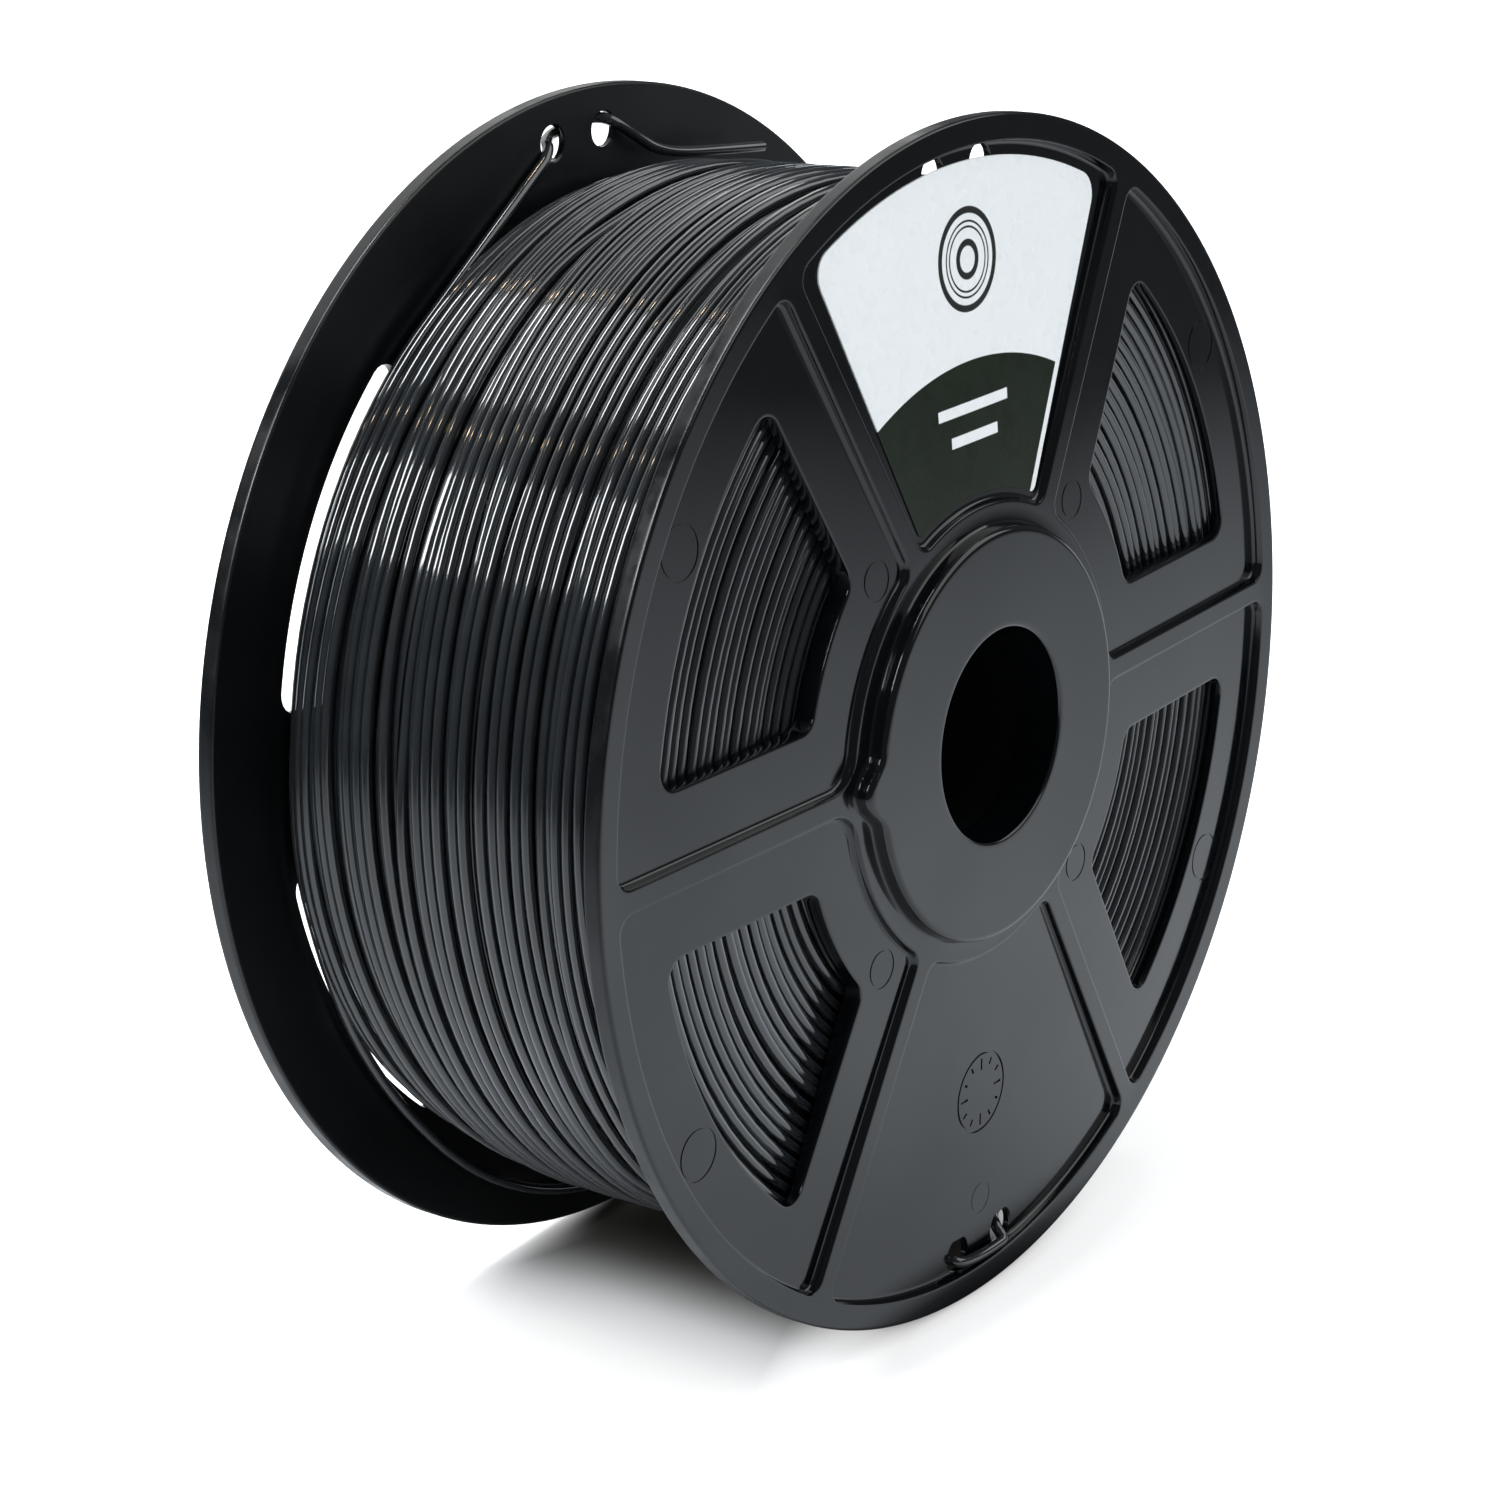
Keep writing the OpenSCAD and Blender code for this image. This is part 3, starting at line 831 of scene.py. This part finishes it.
def sunk_places(turns, depth, seed):
    """How deep each point of the layer has sunk between its neighbours, mostly nothing."""
    own = slow_drift(turns, 1.0, seed, knots=8)
    before = np.concatenate([own[:TURN_STEPS], own[:-TURN_STEPS]])
    after = np.concatenate([own[TURN_STEPS:], own[-TURN_STEPS:]])
    sunk = np.clip((own - 0.6 * np.maximum(before, after) - 0.05) / 0.5, 0, 1)
    place = np.arange(len(own))
    from_end = np.minimum(place, len(own) - 1 - place) / TURN_STEPS
    return depth * eased(sunk) * np.clip(from_end - 1.5, 0, 1)


def spaced(y, sunk):
    """Push neighbouring turns apart until no two touch. A sunk turn leaves its neighbours room."""
    rounds, apart = 60, 2 * STRAND_R + 0.01
    least = np.sqrt(apart ** 2 - (sunk[TURN_STEPS:] - sunk[:-TURN_STEPS]) ** 2)
    for _ in range(rounds):
        gap = y[TURN_STEPS:] - y[:-TURN_STEPS]
        short = np.maximum(0, least - gap) / 2
        y[TURN_STEPS:] += short
        y[:-TURN_STEPS] -= short
        y = np.clip(y, -WOUND_END_Y, WOUND_END_Y)
        y[1:-1] = (y[:-2] + 2 * y[1:-1] + y[2:]) / 4
    return y


def wound_layer(turns, drift, sink, seed, direction=1):
    """Angles, places along the axis and sunk depths of a layer that runs from front to rear."""
    count = turns * TURN_STEPS + 1
    steps = np.arange(count)
    even = -WOUND_END_Y + 2 * WOUND_END_Y * steps / (count - 1)
    # the first turn keeps against the front flange, then steps over to the second turn's place
    first = np.minimum(steps / TURN_STEPS, 1)
    late = np.clip((first - 0.55) / 0.45, 0, 1)
    even = even - 2 * WOUND_END_Y / turns * (first - eased(late))
    fade = np.clip(np.minimum(steps, count - 1 - steps) / (1.5 * TURN_STEPS), 0, 1)
    sunk = sunk_places(turns, sink, seed + 1)
    # up to three turns on either side of a sunk one are pulled towards it
    beyond = np.zeros(3 * TURN_STEPS)
    share = np.concatenate([beyond, sunk, beyond]) / max(sink, 0.1)
    closing = sum(pull * (share[(3 + i) * TURN_STEPS:][:count] - share[(3 - i) * TURN_STEPS:][:count])
                  for i, pull in ((1, 0.30), (2, 0.16), (3, 0.07)))
    y = spaced(even + fade * (closing + slow_drift(turns, drift, seed)), sunk)
    left = (count - 1 - steps) * 360 / TURN_STEPS
    return LEAVE_ANGLE + direction * left, y, sunk


def place_on_axis(radius, angle, y):
    """Places round the spool's axis, at an angle in degrees from +x towards the top."""
    a = np.radians(angle)
    return np.stack([radius * np.cos(a), y, radius * np.sin(a)], axis=-1)


# %% [markdown]
# The last turn has sprung loose and hangs below the winding near the rear flange. After it the
# strand leaves the winding, passes out through one tie hole and back through the other, and ends
# with a cut end above the winding.

# %% The slack turn and the free end
SLACK, SLACK_LOW, SLACK_HALF = 10, 266, 74     # how far it hangs, at what angle, how far round


def slack_at(angle, left):
    """How far the turns stand off the winding: the last turn hangs low, and at the left it and the
    two before it have worked loose."""
    away = np.abs(angle - SLACK_LOW)
    hanging = np.where((away < SLACK_HALF) & (left < 360),
                       SLACK * np.cos(np.radians(90 * away / SLACK_HALF)) ** 2, 0)
    at_left = eased(np.interp(angle % 360, [168, 192, 206, 232], [0, 1, 1, 0]))
    return hanging + at_left * np.interp(left / 360, [0.4, 1.3, 2.4, 3.4], [1.35, 1.1, 0.7, 0])


def smooth_curve(points, pieces):
    """A curve through the points, with so many pieces between two of them."""
    p = np.array(points, float)
    p = np.vstack([p[0], p, p[-1]])
    out = []
    for i in range(1, len(p) - 2):
        a, b, c, d = p[i - 1:i + 3]
        for s in range(pieces):
            t = s / pieces
            out.append(0.5 * (2 * b + (c - a) * t + (2 * a - 5 * b + 4 * c - d) * t * t
                              + (3 * b - a - 3 * c + d) * t ** 3))
    out.append(p[-1])
    return np.array(out)


HOLE_Z, HOLE_X = polar(TIE_HOLE_R, math.radians(TIE_HALF_ANGLE))
OUT_Y = INNER_HALF + floor_height(TIE_HOLE_R) + STRAND_R + 0.15
IN_Y = INNER_HALF - STRAND_R - 0.4
MID_Y = INNER_HALF + floor_height(TIE_HOLE_R) / 2


def threaded(rows, side, turn):
    """Places beside the tie holes: each row tells which hole, and the offsets from it. side is 1 for
    the rear flange's upper holes and -1 for the front flange's lower ones."""
    points = []
    for hole, dx, level, dy, dz in rows:
        x, z = turned(hole * HOLE_X + dx, side * (HOLE_Z + dz), math.radians(turn))
        points.append((x, side * (level + dy), z))
    return points


tail_points = threaded([
    (-1, -3.6, IN_Y, 0.25, -2.1), (-1, -1.35, INNER_HALF, -0.1, -0.6),
    (-1, -0.3, MID_Y, 0.35, -0.05), (-1, 2.2, OUT_Y, 0, 0.6),
    (0, 0, OUT_Y, 0.1, 1.2), (1, -2.1, OUT_Y, 0, 1.6),
    (1, 0.2, MID_Y, 0.2, 1.65), (1, 1.9, IN_Y, 0.3, 0.7),
    (1, 6.4, IN_Y, -0.6, -2.4), (1, 9.4, IN_Y, -1.4, -4.3),
    (1, 14.5, IN_Y, -1.9, -5.8), (1, 24.1, IN_Y, -2.4, -7.2),
    (1, 34, IN_Y, -3.4, -8.4)], 1, TIE_TURN["rear"])

start_points = threaded([
    (-1, -9, IN_Y, -1.5, -1.6), (-1, -3, IN_Y, -0.3, -0.2),
    (-1, -1.6, MID_Y, 0.1, 0.1), (-1, -1.2, OUT_Y, -0.3, 0.4),
    (-1, 0.6, OUT_Y, 0.1, 0.95), (-1, 3.2, OUT_Y, 0.1, 1.4),
    (0, 0, OUT_Y, 0.1, 1.65), (1, -2.6, OUT_Y, 0.1, 1.7),
    (1, -0.9, OUT_Y, 0, 1.6), (1, -0.7, OUT_Y, -0.6, 0.8),
    (1, -0.4, MID_Y, 0, -0.3), (1, 2.6, IN_Y, -0.3, -0.6),
    (1, 8, IN_Y, -1.5, -1.8)], -1, TIE_TURN["front"])


# %% From a path to a strand
def strand(name, path, roundness=2):
    """A strand along the path's points: a curve with a round section, made a mesh."""
    deselect()
    curve = bpy.data.curves.new(name, "CURVE")
    curve.dimensions = "3D"
    curve.bevel_depth = STRAND_R
    curve.bevel_resolution = roundness
    curve.use_fill_caps = True
    spline = curve.splines.new("POLY")
    spline.points.add(len(path) - 1)
    spline.points.foreach_set("co", np.hstack([path, np.ones((len(path), 1))]).ravel())
    pick(new_object(name, curve))
    bpy.ops.object.convert(target="MESH")
    obj = outward(bpy.context.object, weld=0.001)
    smooth(obj, 60)
    return obj


def finish_strand(obj, *replaced):
    """Scale a strand's piece down, give it its finish and hide the solids that it stands for."""
    to_metres(obj)
    coat(obj, filament_finish)
    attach(obj, "root")
    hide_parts(*replaced)
    print(obj.name, "has", len(obj.data.polygons), "faces")


# %% The outer layer and both threaded ends
OUTER_TURNS = 31
angle, y, sunk = wound_layer(OUTER_TURNS, 0.9, 1.1, seed=7)
sunk = sunk + slow_drift(OUTER_TURNS, 0.10, seed=31)
left = angle - LEAVE_ANGLE
outer_path = place_on_axis(layer_radius(y) + slack_at(angle, left) - sunk, angle, y)
outer_layer = strand("outer_layer_and_free_end",
                     np.vstack([outer_path, smooth_curve(tail_points, 8)]))
finish_strand(outer_layer, "filament_outer_layer")
filament_start = strand("threaded_start", smooth_curve(start_points, 8))
finish_strand(filament_start, "filament_start")

# %% [markdown]
# ## The inner layers
# Through the gaps of the outer layer shows the layer below, wound the other way. Through the
# windows show the ends of all the layers, one beside the other. Both are strands again. Behind them
# a plain dark body closes the winding.

# %% Inner layers
SIDE_STEPS = 100           # points in one turn against a flange
SIDE_PITCH = 1.93          # how much farther out each of these turns lies than the last
UNDER_DEPTH = 1.58         # how deep the under layer lies below the outer one


def random_waves(turns, knots, values, width):
    """A smoothed drift through so many random values in each turn."""
    steps = np.arange(turns * SIDE_STEPS) / SIDE_STEPS
    return smoothed(np.interp(steps, np.arange(turns * knots + 1) / knots, values), width)


def side_turns(sign, turns, seed):
    """The turns that lie against a flange, from the barrel outwards. sign is -1 at the front."""
    random = np.random.default_rng(seed)
    turned = np.arange(turns * SIDE_STEPS) / SIDE_STEPS
    wobble = random_waves(turns, 5, random.normal(0, 0.28, turns * 5 + 1), 21)
    depth = random_waves(turns, 3, random.uniform(0, 1.0, turns * 3 + 1), 41)
    radius = BARREL_R + 1.3 + SIDE_PITCH * turned + wobble
    return place_on_axis(radius, 360 * turned * sign, sign * (WOUND_END_Y + 0.25 - depth))


def inner_body():
    """A plain turned body just under the strands."""
    half = WOUND_END_Y - 1.15
    inside = BARREL_R + 0.3
    profile = [(inside, half)]
    profile += [(float(layer_radius(h)) - 3.1, h) for h in np.linspace(half, -half, 15)]
    profile += [(inside, -half), (inside, half)]
    rings = [[(r * math.cos(a), z, r * math.sin(a)) for a in np.radians(np.arange(0, 360, 3))]
             for r, z in profile]
    return ring_strip("inner_body", rings)


under_angle, under_y, _ = wound_layer(29, 0.6, 0, seed=23, direction=-1)
under = place_on_axis(layer_radius(under_y) - UNDER_DEPTH, under_angle, under_y * 0.985)
inner = joined("inner_layers", [strand("under_layer", under, 1),
                                strand("front_side", side_turns(-1, 20, 3)),
                                strand("rear_side", side_turns(1, 19, 5)), inner_body()])
smooth(inner, 60)
finish_strand(inner, "filament_core")

# %% [markdown]
# ## The label
# The label is a thin sheet with rounded corners that lies on the sloping floor of the top pocket.

# %% Label piece
def label_piece():
    """The label, drawn flat along +x as every sixth is."""
    border = sector_outline(36.0, 83.9, 1.35, 3.5, (1.2, 1.2), math.radians(LABEL_HALF_ANGLE))
    rings = []
    for shrink, lift in ((0, 0.01), (0, 0.20), (0.05, 0.25)):
        outline = [(x - math.copysign(shrink, x - 60), y - math.copysign(shrink, y))
                   for x, y in border]
        rings.append(on_floor(outline, lift))
    for share in (0.85, 0.7, 0.55, 0.4, 0.25, 0.1):
        rings.append(on_floor(drawn_in(border, 62, share), 0.25))
    return ring_strip("label_sheet", rings, cap_first=True, cap_last=True)


label = label_piece()
placed(label, (0, 0, math.radians(90)))
outward(label)
smooth(label)
to_metres(label, "front")
coat(label, label_finish)
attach(label, "root")
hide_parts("label")
print(label.name, "has", len(label.data.polygons), "faces")

# %% [markdown]
# ## The studio
# The spool stands on a pale table before a white background. The table is white where the camera
# looks at it, and fades to grey under the spool, where hardly any light gets in and where its colour
# is also painted darker, a painted shadow. In the spool's polished faces the table shows too, as a
# painted reflection that only mirrored rays see. It darkens away from the spool, so that the upper
# pockets reflect a dark room.

# %% Table
FLOOR_Z = -FLANGE_R * MM
deselect()
bpy.ops.mesh.primitive_plane_add(size=8, location=(0, 0, FLOOR_Z))
table = bpy.context.object
table.name = "table"
bpy.ops.object.transform_apply(location=True, rotation=False, scale=False)
table_finish = bpy.data.materials.new("pale_table")
table.data.materials.append(table_finish)


def blank_tree(owner):
    """The emptied node tree of a material or a world."""
    owner.use_nodes = True
    owner.node_tree.nodes.clear()
    return owner.node_tree


def ray_kinds(tree):
    """Whether a ray is the camera's, also through glass, and whether a gloss has mirrored it."""
    rays = node(tree, "ShaderNodeLightPath").outputs
    return (maths(tree, "MAXIMUM", rays["Is Camera Ray"], rays["Is Transmission Ray"]),
            rays["Is Glossy Ray"])


tree = blank_tree(table_finish)
seen, glossy = ray_kinds(tree)
place = own_place(tree)
axes = node(tree, "ShaderNodeSeparateXYZ", {"Vector": place}).outputs
in_front = maths(tree, "MULTIPLY", axes["Y"], -1.0)
print("the table lies at", FLOOR_Z, "m")

# %% [markdown]
# The spool's foot is a strip along its width. The table's colour, painted darker near that strip as a
# painted shadow, and its white glow both rise with the distance from that strip, in which a step past
# the strip's ends counts four times. So the painted shade reaches far beside the spool and ends soon
# past it.

# %% The painted shade under the spool
beyond_ends = maths(tree, "SUBTRACT", maths(tree, "ABSOLUTE", axes["Y"]), 0.030)
beyond_ends = maths(tree, "MULTIPLY", maths(tree, "MAXIMUM", beyond_ends), 4.0)
past = node(tree, "ShaderNodeCombineXYZ", {"X": axes["X"], "Y": beyond_ends}).outputs["Vector"]
from_foot = vector(tree, "LENGTH", past)
# the table's colour: painted dark and a little warm near the foot as a painted shadow, pale farther
# out
table_colour_with_painted_shade = mixed_colour(tree, ramp(tree, from_foot, 0.012, 0.040), (0.165, 0.155, 0.140),
                      (0.64, 0.64, 0.64))
table_colour_with_painted_shade = mixed_colour(tree, ramp(tree, from_foot, 0.065, 0.110), table_colour_with_painted_shade, (0.82, 0.82, 0.82))
# spool's ends, most of all in front, it rises sooner: painted light where real shade would fall
# the white glow is held back near the foot, which gives the painted shadow its edge; past the
past_ends = maths(tree, "MAXIMUM", in_front, maths(tree, "SUBTRACT", axes["Y"], 0.012))
past_ends = maths(tree, "MULTIPLY", ramp(tree, past_ends, 0.013, 0.030, 0, 0.56),
                  ramp(tree, from_foot, 0.010, 0.027))
white_glow = maths(tree, "MAXIMUM", ramp(tree, from_foot, 0.016, 0.061, 0, 0.6), past_ends)
white_glow = maths(tree, "ADD", white_glow, ramp(tree, from_foot, 0.092, 0.146, 0, 0.4))

# %% The table as the spool mirrors it: a painted reflection
# only mirrored rays see this bluish glow, a painted reflection of the table that fades away from the
# spool
away = distance(tree, place, (1.15, 0.75, 0))
painted_reflection = maths(tree, "MULTIPLY", spread(tree, away, 1.32, 0.12, 0.18, 0.77),
               ramp(tree, away, 0.010, 0.120, 0.6, 1.0))
# to the right the painted reflection reaches farther, and shows on the strands in the windows
painted_reflection_right = maths(tree, "ADD", axes["Y"], maths(tree, "MULTIPLY", axes["X"], 0.36))
painted_reflection_right = maths(tree, "MULTIPLY", ramp(tree, painted_reflection_right, -0.02, 0.06, 0, 1.2),
                 ramp(tree, axes["X"], 0.12, 0.30))
# under the spool the painted reflection is dark, a painted shade in the spool's polished faces
painted_reflection_shade = maths(tree, "MAXIMUM", ramp(tree, from_foot, 0.008, 0.110, 0.03, 1.0),
                  ramp(tree, in_front, 0.036, 0.046))
painted_reflection = maths(tree, "MULTIPLY", maths(tree, "MAXIMUM", painted_reflection, painted_reflection_right), painted_reflection_shade)

# %% The table's shaders
# the camera sees the painted shade and the white glow; mirrored rays see the painted reflection
lit = node(tree, "ShaderNodeBsdfDiffuse", {"Color": table_colour_with_painted_shade}).outputs[0]
glow = node(tree, "ShaderNodeEmission", {"Color": (1, 1, 1, 1), "Strength": white_glow})
painted_reflection_glow = node(tree, "ShaderNodeEmission", {"Color": (0.88, 0.94, 1, 1), "Strength": painted_reflection})
looked_at = node(tree, "ShaderNodeAddShader", {0: lit, 1: glow.outputs[0]})
others = node(tree, "ShaderNodeMixShader", {0: glossy, 1: lit, 2: painted_reflection_glow.outputs[0]})
shown = node(tree, "ShaderNodeMixShader", {0: seen, 1: others.outputs[0], 2: looked_at.outputs[0]})
node(tree, "ShaderNodeOutputMaterial", {"Surface": shown.outputs[0]})
print(table_finish.name, "has", len(tree.nodes), "nodes")

# %% [markdown]
# Two small bright softboxes hang over the spool and to its left, a little behind it. Each draws a
# band of fine bright lines across the strand and leaves the label alone. Beside each hangs a narrow
# warm bulb, for the few golden glints between the white ones. A large dim panel in front lights the
# label, and one behind gives the rims their soft grey.

# %% Background and lamps
world = bpy.data.worlds.new("studio")
bpy.context.scene.world = world
tree = blank_tree(world)
seen, glossy = ray_kinds(tree)
white = node(tree, "ShaderNodeBackground", {"Color": (1, 1, 1, 1), "Strength": 1})
dim = spread(tree, glossy, 0.42, 0.12, 0, 1)
room = node(tree, "ShaderNodeBackground", {"Color": (0.90, 0.96, 1, 1), "Strength": dim})
mix = node(tree, "ShaderNodeMixShader", {0: seen, 1: room.outputs[0], 2: white.outputs[0]})
node(tree, "ShaderNodeOutputWorld", {"Surface": mix.outputs[0]})


def soft_lamp(name, place, width, height, radiance, upright=(0, 0, 1), colour=(1, 1, 1)):
    """A rectangular lamp that faces the spool, its height as upright as can be, with the power
    that gives its face this radiance."""
    data = bpy.data.lights.new(name, "AREA")
    data.shape = "RECTANGLE"
    data.size, data.size_y = width, height
    data.energy = math.pi * width * height * radiance
    data.color = colour
    away = Vector(place).normalized()
    side = Vector(upright).cross(away).normalized()
    lamp = new_object(name, data)
    lamp.location = place
    lamp.rotation_euler = Matrix((side, away.cross(side), away)).transposed().to_euler()
    print(name, "gives", round(data.energy, 2), "W")


COOL, WARM = (0.95, 0.98, 1), (1, 0.74, 0.50)
soft_lamp("overhead_softbox", (-0.22, 0.15, 1.04), 0.44, 0.32, 18, ALONG_AXIS, COOL)
soft_lamp("left_softbox", (-0.78, 0.17, 0.70), 0.34, 0.42, 18, ALONG_AXIS, COOL)
soft_lamp("bare_bulb_high", (0.04, 0.142, 1.07), 0.022, 0.14, 45, ALONG_AXIS, WARM)
soft_lamp("bare_bulb_low", (-0.538, 0.139, 0.92), 0.022, 0.14, 40, ALONG_AXIS, WARM)
soft_lamp("front_panel", (0.52, -0.72, 0.74), 1.20, 1.00, 1.85)
soft_lamp("rear_panel", (0.32, 0.80, 0.62), 1.30, 0.90, 1.12)
